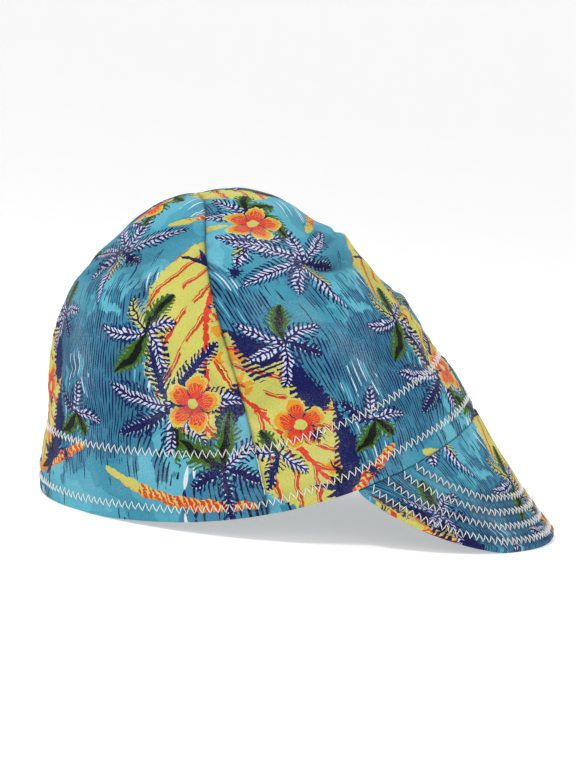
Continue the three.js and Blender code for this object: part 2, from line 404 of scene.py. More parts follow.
def faces_at_end(start, ring, pairs, flip):
    faces = [(j, j + 1, 2 * pairs - 2 - j, 2 * pairs - 1 - j) for j in range(pairs - 1)]
    rest = (0, *range(2 * pairs - 1, ring))
    if len(rest) > 2:
        faces.append(rest)
    faces = [[start + v for v in face] for face in faces]
    return [face[::-1] if flip else face for face in faces]


print("faces of three rings of four points", len(faces_around(3, 4, False, [])[0]))

# %% [markdown]
# The piece itself gets two things along with its faces. A chart lays the cloth flat in the way that
# it was cut, for the print. The attribute named hollow says how deep in a crease or seam each point
# lies, from 0 to 1, and the material paints shade there by darkening the print. Unwrapping could find
# a chart by itself, but it wouldn't know the grain of the cloth. Normals are recalculated, and open
# edges are counted to prove that the shell is closed.

# %% Cloth from sections
def cloth_piece(name, sections, chart, goes_round, pairs, materials, inner_from, hollow):
    count, ring = sections.shape[:2]
    faces, kinds = faces_around(count, ring, goes_round, range(inner_from, inner_from + pairs))
    if not goes_round:
        for start, flip in ((0, False), ((count - 1) * ring, True)):
            ends = faces_at_end(start, ring, pairs, flip)
            faces += ends
            kinds += [1] * len(ends)
    points = on_table(sections)
    points[..., 2] = np.maximum(points[..., 2], 0)
    mesh = bpy.data.meshes.new(name)
    mesh.from_pydata(points.reshape(-1, 3).tolist(), [], faces)
    for material in materials:
        mesh.materials.append(material)
    mesh.polygons.foreach_set("material_index", kinds)
    mesh.polygons.foreach_set("use_smooth", [True] * len(faces))
    layer = mesh.uv_layers.new(name="cloth")
    corner = np.empty(len(mesh.loops), int)
    mesh.loops.foreach_get("vertex_index", corner)
    layer.data.foreach_set("uv", chart.reshape(-1, 2)[corner].ravel())
    mesh.validate()
    # hollow: how deep each point lies, which the material turns into painted shade
    mesh.attributes.new("hollow", "FLOAT", "POINT").data.foreach_set("value", hollow.ravel())
    piece = bpy.data.objects.new(name, mesh)
    bpy.context.scene.collection.objects.link(piece)
    turn_outwards(piece)
    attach(piece, "root")
    return piece


def turn_outwards(piece):
    shell = bmesh.new()
    shell.from_mesh(piece.data)
    bmesh.ops.recalc_face_normals(shell, faces=shell.faces)
    open_edges = sum(1 for edge in shell.edges if not edge.is_manifold)
    volume = round(shell.calc_volume() * 1e6, 2)
    print(piece.name, "faces", len(shell.faces), "open edges", open_edges, "cm3", volume)
    shell.to_mesh(piece.data)
    shell.free()


# %% [markdown]
# Materials are drawn by nodes, and a print needs hundreds of them. Wiring each by hand would hide the
# idea of the drawing. This small class wraps a socket, so that a line of arithmetic stands for a
# chain of Math nodes.

# %% Arithmetic with nodes
class Reading:
    def __init__(self, tree, socket):
        self.tree = tree
        self.socket = socket

    def maths(self, operation, *values):
        node = self.tree.nodes.new("ShaderNodeMath")
        node.operation = operation
        for place, value in enumerate(values):
            if isinstance(value, Reading):
                self.tree.links.new(value.socket, node.inputs[place])
            else:
                node.inputs[place].default_value = value
        return Reading(self.tree, node.outputs[0])

    def __add__(self, other):
        return self.maths("ADD", self, other)

    def __radd__(self, other):
        return self.maths("ADD", other, self)

    def __sub__(self, other):
        return self.maths("SUBTRACT", self, other)

    def __rsub__(self, other):
        return self.maths("SUBTRACT", other, self)

    def __mul__(self, other):
        return self.maths("MULTIPLY", self, other)

    def __rmul__(self, other):
        return self.maths("MULTIPLY", other, self)

    def __truediv__(self, other):
        return self.maths("DIVIDE", self, other)

    def __rtruediv__(self, other):
        return self.maths("DIVIDE", other, self)

    def __pow__(self, other):
        return self.maths("POWER", self, other)

    def __abs__(self):
        return self.maths("ABSOLUTE", self)

    def __gt__(self, other):
        return self.maths("GREATER_THAN", self, other)

    def __lt__(self, other):
        return self.maths("LESS_THAN", self, other)

    def floor(self):
        return self.maths("FLOOR", self)

    def part(self):
        return self.maths("FRACT", self)

    def sine(self):
        return self.maths("SINE", self)

    def cosine(self):
        return self.maths("COSINE", self)

    def above_zero(self):
        return self.maths("MAXIMUM", self, 0.0)

    def upto_one(self):
        return self.maths("MINIMUM", self, 1.0)

    def atan2(self, other):
        return self.maths("ARCTAN2", self, other)

    def root(self):
        return self.maths("SQRT", self)


# %% [markdown]
# A printed cloth is inks laid one over the other. A picture of a print could be wrapped round the
# cap, but it would be somebody's picture and would blur close up. A drawing by rules stays sharp.
# This class knows where a point lies in millimetres of cloth, throws dice for each motif, and lays
# ink on ink.

# %% A drawing on cloth
CHART_SIZE = 250.0


class Drawing:
    def __init__(self, name, on_cloth=True):
        self.material = bpy.data.materials.new(name)
        self.material.use_nodes = True
        self.tree = self.material.node_tree
        self.shader = self.tree.nodes["Principled BSDF"]
        if on_cloth:
            where, size = self.node("ShaderNodeUVMap", uv_map="cloth").outputs["UV"], CHART_SIZE
        else:
            where, size = self.node("ShaderNodeTexCoord").outputs["Object"], 1000.0
        split = self.node("ShaderNodeSeparateXYZ", Vector=where)
        self.u = self.reading(split.outputs["X"]) * size
        self.v = self.reading(split.outputs["Y"]) * size
        self.w = self.reading(split.outputs["Z"]) * size

    def node(self, kind, **settings):
        node = self.tree.nodes.new(kind)
        for name, value in settings.items():
            if name in node.inputs:
                self.feed(node.inputs[name], value)
            else:
                setattr(node, name, value)
        return node

    def feed(self, socket, value):
        if isinstance(value, Reading):
            value = value.socket
        if isinstance(value, bpy.types.NodeSocket):
            self.tree.links.new(value, socket)
        else:
            socket.default_value = value

    def reading(self, socket):
        return Reading(self.tree, socket)

    def vector(self, x, y, z=0.0):
        return self.node("ShaderNodeCombineXYZ", X=x, Y=y, Z=z).outputs["Vector"]

    def noise(self, x, y, detail=2.0, rough=0.5):
        node = self.node("ShaderNodeTexNoise", noise_dimensions="2D", Vector=self.vector(x, y))
        node.inputs["Scale"].default_value = 1.0
        node.inputs["Detail"].default_value = detail
        node.inputs["Roughness"].default_value = rough
        return node

    def dice(self, x, y, z=0.0):
        node = self.node("ShaderNodeTexWhiteNoise", noise_dimensions="3D", Vector=self.vector(x, y, z))
        split = self.node("ShaderNodeSeparateXYZ", Vector=node.outputs["Color"])
        return [self.reading(split.outputs[axis]) for axis in "XYZ"]

    def ink(self, under, over, share):
        node = self.node("ShaderNodeMix", data_type="RGBA")
        self.feed(node.inputs[0], share)
        for socket, colour in ((node.inputs[6], under), (node.inputs[7], over)):
            self.feed(socket, (*colour, 1.0) if isinstance(colour, tuple) else colour)
        return node.outputs[2]

    def shaded(self, colour, tint, share):
        node = self.node("ShaderNodeMix", data_type="RGBA", blend_type="MULTIPLY")
        self.feed(node.inputs[0], share)
        self.feed(node.inputs[6], colour)
        self.feed(node.inputs[7], (*tint, 1.0))
        return node.outputs[2]

    def bump(self, height, strength, distance):
        node = self.node("ShaderNodeBump", Height=height)
        node.inputs["Strength"].default_value = strength
        node.inputs["Distance"].default_value = distance
        self.feed(self.shader.inputs["Normal"], node.outputs["Normal"])

    def scatter(self, u, v, wide, tall, seed, jitter, swing, base=0.0):
        row = (v / tall).floor()
        shifted = u + (row * 0.5).part() * wide
        column = (shifted / wide).floor()
        first, second, third = self.dice(column, row, seed)
        across = shifted - (column + 0.5) * wide - (first - 0.5) * (jitter * wide)
        along = v - (row + 0.5) * tall - (second - 0.5) * (jitter * tall)
        angle = (third - 0.5) * (2 * swing) + base
        cosine, sine = angle.cosine(), angle.sine()
        p = across * cosine + along * sine
        q = along * cosine - across * sine
        return p, q, (column, row), (first * 7.31 + second * 3.17).part()


# %% [markdown]
# The inks of the real print are few: water in five blues, two darks for strokes, pale surf and lilac,
# yellow, amber, red, two greens and a near black. They could be measured pixel by pixel, but light
# and shade are in every pixel, so they are set as plain inks. The design is a general one of like
# scale, in a layout of its own.

# %% Inks
def linear(value):
    share = value / 255
    return ((share + 0.055) / 1.055) ** 2.4 if share > 0.04045 else share / 12.92


def ink_of(red, green, blue):
    return tuple(linear(value) for value in (red, green, blue))


AQUA = ink_of(80, 162, 184)
SHALLOW = ink_of(108, 188, 206)
DIM_AQUA = ink_of(64, 144, 168)
TEAL = ink_of(60, 128, 158)
DEEP = ink_of(54, 118, 150)
NAVY = ink_of(20, 24, 82)
STROKE = ink_of(8, 24, 56)
SURF = ink_of(214, 228, 236)
YELLOW = ink_of(202, 198, 100)
AMBER = ink_of(220, 150, 40)
RED = ink_of(214, 60, 38)
LEAF = ink_of(60, 96, 32)
LEAF_LIGHT = ink_of(98, 136, 58)
SHADE = ink_of(16, 20, 18)
LILAC = ink_of(206, 208, 232)
UNPRINTED = ink_of(226, 236, 238)
# multiplied over the print for painted shade in hollows and for darker lint
SHADE_AND_LINT_TINT = (0.16, 0.2, 0.28)
print("aqua in linear light", [round(v, 3) for v in AQUA])

# %% [markdown]
# On such a print the motifs repeat in rows with a shift, and each is turned a little. A strict grid
# would show at once, and a free scatter could leave holes. So each motif has cells of its own size, a
# seed, a jitter inside the cell, and a swing about a base angle. Rosettes come in three sizes and
# may be turned any way, so they have a table of their own.

# %% Layout of the motifs
MOTIFS = {
    # name: cell width, cell height, seed, jitter, swing, base angle
    "leaf": (118.0, 150.0, 11.0, 0.16, 0.55, 0.25),
    "cane": (92.0, 74.0, 23.0, 0.2, 0.4, 0.1),
    "blossom": (86.0, 98.0, 41.0, 0.3, 3.1, 0.0),
    "tuft": (64.0, 82.0, 71.0, 0.4, 0.9, 0.0),
    "star": (34.0, 38.0, 53.0, 0.5, 3.1, 0.0),
}
ROSETTES = [
    # moved across, moved up, cell width, cell height, seed, radius, leaves, share of cells left bare
    (12.0, 31.0, 52.0, 50.0, 83.0, 18.0, 5.0, 0.45),
    (0.0, 0.0, 82.0, 86.0, 31.0, 34.0, 7.0, 0.12),
    (37.0, 16.0, 62.0, 70.0, 67.0, 24.0, 6.0, 0.22),
]
print("motifs", len(MOTIFS) + len(ROSETTES))

# %% [markdown]
# The ground of the print is water: aqua with paler and darker patches, and fine tapered strokes that
# run up the cloth and bend together. Plain noise gives patches but no strokes, and a wave texture
# gives strokes that never end. So the cloth is cut into narrow lanes, each lane into dashes, and
# noise says where dashes and surf are wanted.

# %% Water
LANE = 1.7
SLANTING = 62.0
BENDING = 9.0


def water(art, u, v):
    drift = art.noise(u * 0.017 + 3.1, v * 0.012 + 7.7, 3.0, 0.55)
    depth = art.reading(drift.outputs[0])
    pool = art.reading(art.noise(u * 0.03 + 14.0, v * 0.022 + 3.0, 2.0).outputs[0])
    fray = art.reading(art.noise(u * 0.5, v * 0.06, 2.0).outputs[0])
    colour = art.ink(AQUA, SHALLOW, (pool > 0.56) * 0.5)
    colour = art.ink(colour, DIM_AQUA, pool < 0.45)
    colour = art.ink(colour, TEAL, depth + (fray - 0.5) * 0.05 > 0.505)
    colour = art.ink(colour, DEEP, depth + (fray - 0.5) * 0.05 > 0.585)
    slant = art.reading(art.noise(art.u * 0.008 + 2.0, art.v * 0.008 + 5.0, 1.0).outputs[0])
    bend = art.reading(art.noise(art.u * 0.035, art.v * 0.022 + 5.0, 1.0).outputs[0])
    lane = (art.u + (slant - 0.5) * SLANTING + bend * BENDING) / LANE
    number = lane.floor()
    first, second, _ = art.dice(number, 4.0)
    dash = art.v / (8.0 + first * 10.0) + second * 9.0
    chance, shade, pale = art.dice(number, dash.floor(), 2.0)
    body = (dash.part() * math.pi).sine() ** 0.6
    thin = abs(lane.part() - 0.5) < body * (0.16 + shade * 0.12)
    wanted = chance < (depth - 0.46) * 9.0
    colour = art.ink(colour, art.ink(STROKE, NAVY, shade > 0.72), thin * wanted)
    crest = art.reading(art.noise(u * 0.03 + 9.0, v * 0.02 + 1.0, 2.0).outputs[0])
    foam = (abs(lane.part() - 0.5) < body * (0.05 + pale * 0.2)) * (pale > 0.72) * (crest > 0.62)
    return art.ink(colour, art.ink(SHALLOW, SURF, pale > 0.84), foam)


print("strokes lie", LANE, "mm apart")

# %% [markdown]
# The largest motifs are broad yellow leaves, with red ribs in pairs, amber shade, and blue feathering
# down one side. A leaf could be a mask from a picture. As arithmetic it is a tapered outline, with
# chevrons inside it and a comb along one edge.

# %% Broad leaves
LEAF_HALF_LENGTH = 52.0
LEAF_HALF_WIDTH = 29.0
RIB_SPACING = 16.0


def broad_leaf(art, colour, u, v, rag):
    p, q, _, _ = art.scatter(u, v, *MOTIFS["leaf"])
    taper = ((1.0 - (q / LEAF_HALF_LENGTH) ** 2.0).above_zero()) ** 0.52
    edge = LEAF_HALF_WIDTH * taper * (0.86 + rag * 0.28)
    inside = abs(p) < edge
    chevron = (q + abs(p) * 1.5 + rag * 1.1) / RIB_SPACING
    line = chevron.part()
    broken = art.reading(art.noise(p * 0.09, q * 0.05 + 2.0, 1.0).outputs[0]) > 0.34
    pair = (abs(line - 0.1) < 0.055) + (abs(line - 0.27) < 0.03)
    shade = art.reading(art.noise(p * 0.05 + 4.0, q * 0.1, 3.0).outputs[0])
    leaf = art.ink(YELLOW, AMBER, (shade > 0.6) * (p > 2.0))
    leaf = art.ink(leaf, SHADE, (abs(line - 0.165) < 0.018) * broken)
    leaf = art.ink(leaf, RED, (pair * broken).upto_one())
    leaf = art.ink(leaf, RED, abs(p + rag * 1.6 - 0.8) < 1.3 * taper)
    tuft = ((q - p * 0.7) / 26.0 + 0.3).part()
    deep = (edge - p) / 18.0
    reach = ((tuft * math.pi).sine() ** 0.8) * (0.75 + rag * 0.5)
    comb = ((q + p * 0.35) / 2.3).part()
    feather = deep < reach * (0.62 + (comb > 0.45) * 0.42)
    leaf = art.ink(leaf, NAVY, feather * (p > 3.0))
    return art.ink(colour, leaf, inside)


print("leaf in mm", 2 * LEAF_HALF_LENGTH, "by", 2 * LEAF_HALF_WIDTH)

# %% [markdown]
# Canes are narrow yellow bands with red hatching, which sway across the cloth. They are the same idea
# as a leaf in small: a band about a waving middle line, with stripes across it.

# %% Canes
CANE_HALF_WIDTH = 2.7
CANE_HALF_LENGTH = 36.0


def canes(art, colour, u, v, rag):
    p, q, _, roll = art.scatter(u, v + 20.0, *MOTIFS["cane"])
    middle = q + (p / 17.0 + roll * 6.0).sine() * 3.0
    half = CANE_HALF_WIDTH * ((1.0 - (p / CANE_HALF_LENGTH) ** 2.0).above_zero() ** 0.3)
    hatch = (p / 2.7 + middle * 0.22 + rag).part() < 0.56
    where = ((p / 15.0 + roll * 3.0).sine() + rag) > 0.25
    cane = art.ink(YELLOW, RED, hatch * where)
    cane = art.ink(cane, AMBER, (middle < -1.3) * (hatch < 0.5))
    return art.ink(colour, cane, (abs(middle) < half * (0.8 + rag * 0.4)) * (roll > 0.2))


print("cane in mm", 2 * CANE_HALF_LENGTH, "by", 2 * CANE_HALF_WIDTH)

# %% [markdown]
# Rosettes are feathery leaves round a centre, as on many prints of plants. Drawing one leaf and
# instancing it would make geometry of what is only ink. In angles about the centre, one rule draws
# all leaves: the angle picks the leaf and its ink, and the distance along it combs its edge.

# %% Rosettes
def rosettes(art, colour, u, v, rag, wide, tall, seed, radius, leaves, bare):
    p, q, cell, roll = art.scatter(u, v, wide, tall, seed, 0.22, 3.1)
    r = (p * p + q * q).root()
    turn = q.atan2(p) + (roll - 0.5) * 0.045 * r
    sector = turn * (leaves / (2 * math.pi))
    number = sector.floor()
    first, second, third = art.dice(number, cell[0] * 5.0 + cell[1], seed)
    across = (sector - number - 0.5 + (first - 0.5) * 0.34) * (2 * math.pi / leaves) * r
    reach = radius * (0.55 + third * 0.5)
    along = (r / reach).upto_one()
    green_leaf = second < 0.3
    width = ((3.2 + radius * 0.09) * (along * math.pi).sine() ** 0.6) * (1.2 - second * 0.32)
    comb = ((r - abs(across) * 0.95 + rag * 1.2) / 2.15).part()
    stroke = comb < 0.5
    mask = (abs(across) < width * (0.4 + stroke * 0.5 + green_leaf * 0.22)) * (r < reach) * (roll > bare)
    rib = abs(across) < 0.42
    heart = abs(across) < width * (0.14 + rag * 0.24)
    green = art.ink(LEAF, LEAF_LIGHT, (stroke < 0.5) * (abs(across) > width * 0.5))
    green = art.ink(green, SHADE, heart)
    pale = art.ink(LILAC, NAVY, (stroke + rib).upto_one())
    dark = art.ink(NAVY, SURF, (comb > 0.78) * (abs(across) > width * 0.25))
    gold = art.ink(YELLOW, NAVY, (stroke * (comb > 0.2) + rib).upto_one())
    leaf = art.ink(pale, green, green_leaf)
    leaf = art.ink(leaf, dark, second > 0.66)
    leaf = art.ink(leaf, gold, second > 0.9)
    return art.ink(colour, leaf, mask)


print("rosettes across, mm", [2 * row[5] for row in ROSETTES])

# %% [markdown]
# Blossoms have five red and amber petals with veins. A cosine of the angle gives the petals, as it
# would on a drawn flower, and a faster sine gives the veins.

# %% Blossoms
BLOSSOM_RADIUS = 12.5


def blossoms(art, colour, u, v, rag):
    p, q, _, roll = art.scatter(u, v, *MOTIFS["blossom"])
    r = (p * p + q * q).root()
    turn = q.atan2(p)
    lobe = abs((turn * 2.5).cosine()) ** 0.55
    rim = BLOSSOM_RADIUS * (0.42 + lobe * 0.58) * (0.9 + rag * 0.2)
    veins = abs((turn * 17.0 + rag * 3.0).sine()) < 0.3
    petal = art.ink(RED, AMBER, (r > rim * 0.74) + (veins * (r > 5.0)) > 0.5)
    petal = art.ink(petal, YELLOW, r > rim * 0.9)
    petal = art.ink(petal, NAVY, (lobe < 0.3) * (r < 9.0))
    petal = art.ink(petal, YELLOW, r < 2.4)
    return art.ink(colour, petal, (r < rim) * (roll > 0.45))


print("blossom across, mm", 2 * BLOSSOM_RADIUS)

# %% [markdown]
# Small dark motifs fill the gaps of a print. Tufts are pointed blades in a fan, and stars are short
# spikes all round. Both cut the angle into parts and taper each part with its distance.

# %% Tufts and stars
TUFT_BLADES = 15
STAR_SPIKES = 9


def tufts(art, colour, u, v, rag):
    p, q, cell, roll = art.scatter(u, v, *MOTIFS["tuft"])
    r = (p * p + q * q).root()
    turn = p.atan2(q) + (roll - 0.5) * 0.05 * r
    sector = turn * (TUFT_BLADES / (2 * math.pi))
    number = sector.floor()
    first, second, _ = art.dice(number, cell[0] * 3.0 + cell[1], 71.0)
    across = abs(sector - number - 0.5) * (2 * math.pi / TUFT_BLADES) * r
    reach = 11.0 + first * 9.0
    blade = across < (1.0 - r / reach).above_zero() * (2.6 + rag)
    heart = r < 4.5 + rag * 3.0
    ink = art.ink(NAVY, SHADE, (second > 0.5) * (r > 5.5))
    return art.ink(colour, ink, (blade + heart).upto_one() * (abs(turn) < 1.9) * (roll > 0.3))


def stars(art, colour, u, v, rag):
    p, q, _, roll = art.scatter(u, v, *MOTIFS["star"])
    r = (p * p + q * q).root()
    spike = ((q.atan2(p) + rag) * (STAR_SPIKES / (2 * math.pi))).part()
    width = abs(spike - 0.5) * (2 * math.pi / STAR_SPIKES) * r
    size = 3.6 + roll * 2.6
    mask = width < (1.0 - r / size).above_zero() * 0.75
    return art.ink(colour, NAVY, (mask + (r < 1.1)).upto_one() * (roll > 0.62))


print("blades in a tuft", TUFT_BLADES, "and spikes on a star", STAR_SPIKES)

# %% [markdown]
# The layers go on in the order of a printer, ground first. The edges of real ink run a little along
# the threads. Blurring them would look soft, so the place that is asked for is moved about by noise
# instead, and each edge stays crisp but uneven.

# %% The whole print
RUNNING = 3.4


def whole_print(art):
    sway = art.noise(art.u * 0.16, art.v * 0.16, 2.0)
    split = art.node("ShaderNodeSeparateXYZ", Vector=sway.outputs["Color"])
    rag = art.reading(art.noise(art.u * 0.75, art.v * 0.75, 2.0).outputs[0])
    u = art.u + (art.reading(split.outputs["X"]) - 0.5) * RUNNING
    v = art.v + (art.reading(split.outputs["Y"]) - 0.5) * RUNNING
    colour = water(art, u, v)
    colour = broad_leaf(art, colour, u, v, rag)
    colour = canes(art, colour, u, v, rag)
    for across, upwards, *layout in ROSETTES:
        colour = rosettes(art, colour, u + across, v + upwards, rag, *layout)
    colour = blossoms(art, colour, u, v, rag)
    colour = tufts(art, colour, u + 11.0, v + 23.0, rag)
    return stars(art, colour, u, v, rag)


# %% [markdown]
# The cloth under the ink is a plain weave of fine threads, matt, with paler and darker lint here and
# there. Weave as geometry would need millions of faces, so here it is bump, and the lint is ink. A
# faint painted highlight makes the cloth paler where the weave's bump stands up, and painted shade
# darkens it where the attribute named hollow says it lies deep. The back of a printed cloth shows the
# print faintly, so the same drawing is used with a fade.

# %% Printed cotton
THREAD_PITCH = 0.42
MATT = 0.74


def cotton(name, fade):
    art = Drawing(name)
    colour = whole_print(art)
    warp = (art.u * (2 * math.pi / THREAD_PITCH)).sine()
    weft = (art.v * (2 * math.pi / THREAD_PITCH)).sine()
    slub = art.reading(art.noise(art.u * 1.1, art.v * 0.25, 2.0).outputs[0])
    grain = 0.5 + warp * weft * 0.25 + (slub - 0.5) * 0.5
    lint = art.reading(art.noise(art.u * 1.3, art.v * 1.3, 3.0, 0.7).outputs[0])
    worn = art.reading(art.noise(art.u * 0.035, art.v * 0.035, 4.0, 0.6).outputs[0])
    # paler lint and wear at random, plus a painted highlight on the crests of the weave's bump
    lint_and_weave_highlight = (lint - 0.5) * 0.32 + (worn - 0.5) * 0.3 + (grain - 0.5) * 0.12
    hollow = art.reading(art.node("ShaderNodeAttribute", attribute_name="hollow").outputs["Fac"])
    dark_threads = ((0.5 - lint) * 0.9 + (0.5 - worn) * 0.4).above_zero()
    # painted shade from the hollow attribute in creases, folds and seams, over darker lint at random
    colour = art.shaded(colour, SHADE_AND_LINT_TINT, (dark_threads + hollow * 0.75).upto_one())
    colour = art.ink(colour, UNPRINTED, (lint_and_weave_highlight.above_zero() + fade).upto_one())
    art.feed(art.shader.inputs["Base Color"], colour)
    art.feed(art.shader.inputs["Roughness"], MATT + slub * 0.16)
    art.shader.inputs["Specular IOR Level"].default_value = 0.12
    art.shader.inputs["Sheen Weight"].default_value = 0.03
    art.shader.inputs["Sheen Roughness"].default_value = 0.5
    art.bump(grain, 0.35, 0.0002)
    print(name, "nodes", len(art.tree.nodes))
    return art.material


printed = cotton("printed_cotton", 0.0)
reverse = cotton("printed_cotton_back", 0.5)

# %% [markdown]
# Sewing thread is spun cotton: off-white, a little uneven in colour, with fibres that catch the
# light. It could share the cloth's material, but thread has no chart, so its fibres are read from the
# place in the object.

# %% Thread
THREAD_LIGHT = ink_of(246, 247, 244)
THREAD_DARK = ink_of(208, 208, 200)


def thread_cotton(name):
    art = Drawing(name, on_cloth=False)
    fibre = art.reading(art.noise((art.u + art.w) * 3.5, (art.v - art.w) * 3.5, 2.0).outputs[0])
    length = art.reading(art.noise((art.u + art.w) * 0.12, (art.v - art.w) * 0.12, 2.0).outputs[0])
    shade = ((fibre - 0.35) * 0.9 + (length - 0.5) * 0.5).above_zero().upto_one()
    art.feed(art.shader.inputs["Base Color"], art.ink(THREAD_LIGHT, THREAD_DARK, shade))
    art.feed(art.shader.inputs["Roughness"], 0.55 + fibre * 0.3)
    art.bump(fibre, 0.3, 0.0001)
    print(name, "nodes", len(art.tree.nodes))
    return art.material


white_thread = thread_cotton("white_thread")

# %% [markdown]
# Two rows of zigzag stitches go round the hem. The lower one holds the hem and climbs over the bill's
# seam, and the upper one holds the sweatband's edge. Guided by hand, neither is quite level. Noise
# could make them wander, but their real heights can be seen, so they are two short tables.

# %% The stitch rows' heights
HEM_ROW = np.array(
    [
        # degrees from straight ahead, height above the hem
        (0, 8.8),
        (25, 8.8),
        (50, 9.4),
        (62, 8.8),
        (72, 7.6),
        (92, 4.9),
        (130, 7.2),
        (145, 6.7),
        (180, 7.0),
    ]
)
BAND_ROW = np.array(
    [
        (0, 31.6),
        (18, 31.4),
        (30, 30.4),
        (46, 31.0),
        (66, 30.0),
        (92, 29.2),
        (118, 31.6),
        (150, 31.4),
        (180, 30.5),
    ]
)


def row_height(rows, angle):
    ahead = np.degrees(np.abs(np.arctan2(np.sin(angle), np.cos(angle))))
    wide = np.interp(ahead, rows[:, 0], rows[:, 1])
    near = np.interp(np.abs(ahead - 4), rows[:, 0], rows[:, 1])
    far = np.interp(ahead + 4, rows[:, 0], rows[:, 1])
    return (wide + near + far) / 3


apart = row_height(BAND_ROW, np.radians(np.arange(181))) - row_height(HEM_ROW, np.radians(np.arange(181)))
print("rows apart in mm, from", round(float(apart.min()), 1), "to", round(float(apart.max()), 1))

# %% [markdown]
# Soft cloth is never quite smooth. Noise textures could displace it, but they aren't at hand while
# the points are worked out, so ripples are sums of sine waves in random directions from a fixed seed.
# The distance to the nearest seam, in millimetres, is needed for everything that happens there.

# %% Ripples and seams
WAVES = 14


def ripple(points, size, seed):
    dice = np.random.default_rng(seed)
    total = np.zeros(points.shape[:-1])
    for _ in range(WAVES):
        direction = unit(dice.normal(size=3))
        reach = 2 * math.pi / (size * dice.uniform(0.7, 1.6))
        total += np.sin(points @ direction * reach + dice.uniform(0, 6.28))
    return total / math.sqrt(WAVES)


def seam_distance(angle, level):
    from_seam = (angle + math.pi / GORES) % (2 * math.pi / GORES) - math.pi / GORES
    step = 0.01
    ahead, behind = plain_crown(angle + step, level), plain_crown(angle - step, level)
    return from_seam * np.linalg.norm(ahead - behind, axis=-1) / (2 * step)


print("half of a gore at its hem, mm", round(float(seam_distance(math.radians(44.9), 0.0)), 1))

# %% [markdown]
# On the real cap the stitched rows are drawn in and gather the cloth. The seams lie in a valley, with
# puckers across it and a low ridge where the allowance is pressed to one side. Above, the cloth rolls
# freely. Each of these is one short term, so that it can be made stronger or weaker by itself.

# %% Small forms
FREE_FROM = 24
FREE_TO = 48


def height_on_cloth(angle, level):
    return crown_height(angle, level) - crown_height(angle, 0 * level)


def drawn_in(height, angle):
    at_hem = np.abs(height - row_height(HEM_ROW, angle))
    at_band = np.abs(height - row_height(BAND_ROW, angle))
    return 0.4 * (1 - soft_step(at_hem, 2.0, 4.2)) + 0.6 * (1 - soft_step(at_band, 2.0, 5.5))


def gathered(height, angle, points):
    near_rows = bell(height - row_height(BAND_ROW, angle), 9)
    near_rows = near_rows + 0.6 * bell(height - row_height(HEM_ROW, angle), 6)
    return 0.16 * ripple(points * np.array([1, 1, 0.25]), 7, 7) * near_rows


def fine_forms(angle, level, points):
    height = height_on_cloth(angle, level)
    seam = seam_distance(angle, level)
    free = soft_step(height, FREE_FROM, FREE_TO)
    return {
        "seam": seam,
        "rolls": ripple(points, 40, 3) * free + 0.34 * ripple(points, 16, 5) * (0.35 + 0.65 * free),
        "creased": creases(points) * free,
        "folded": folds(points) * free,
        "gathers": gathered(height, angle, points),
        "puckers": 0.42 * ripple(points, 8, 9) * bell(seam, 9),
        "pressed": 0.22 * soft_step(seam, 0.6, 1.8) * (1 - soft_step(seam, 6, 8.5)),
        "pulled": drawn_in(height, angle),
        "valley": 0.55 * bell(seam, 0.7) + 0.15 * bell(seam, 3.0),
    }


def fine_relief(forms, level):
    raised = sum(forms[name] for name in ("rolls", "creased", "gathers", "puckers", "pressed"))
    near_tip = 1 - soft_step(level, 0.93, 0.99)
    return (raised - forms["pulled"]) * near_tip - forms["valley"] * (1 - soft_step(level, 0.985, 1))


def fine_at(angle, level):
    return fine_relief(fine_forms(angle, level, plain_crown(angle, level)), level)


print("drawn in at the band's row by", round(float(drawn_in(row_height(BAND_ROW, 0.0), 0.0)), 2), "mm")

# %% [markdown]
# Cloth looks a little darker where it lies deep, because less light gets there. Ambient occlusion
# would find only the deepest places of so smooth a shell. So the same terms that press the cloth in
# also say how hollow it is.

# %% Hollows
HOLLOW_SHARES = {
    # form: how much a millimetre below the cloth darkens it
    "creased": 0.4,
    "folded": 0.12,
    "rolls": 0.12,
}


def hollows(forms):
    dark = sum(np.maximum(-forms[name], 0) * share for name, share in HOLLOW_SHARES.items())
    dark = dark + np.maximum(-forms["puckers"] - forms["gathers"], 0) * 0.5
    # painted shade also runs along each seam line
    return np.clip(dark + 0.6 * bell(forms["seam"], 0.6) + 0.08 * bell(forms["seam"], 2.2), 0, 1)


seam_middle = hollows(fine_forms(0.0, 0.5, plain_crown(0.0, 0.5)))
print("hollow on the front seam, half way up", round(float(seam_middle), 2))

# %% [markdown]
# A gore is a pointed panel from hem to apex. It could be a sheet with a Solidify modifier, but its
# hem is rolled and thicker than the rest, so each section goes up the outside, down the inside, and
# round the hem. A gore's sides are shut where it meets its neighbours.

# %% A gore's sections
ACROSS = 124
UPWARDS = 150
HEM_ROLL = 0.75
CLOTH_FINE = 0.9
TOP_LEVEL = 0.9985
ROLL_TURNS = np.linspace(0, math.pi, 7)[1:-1]


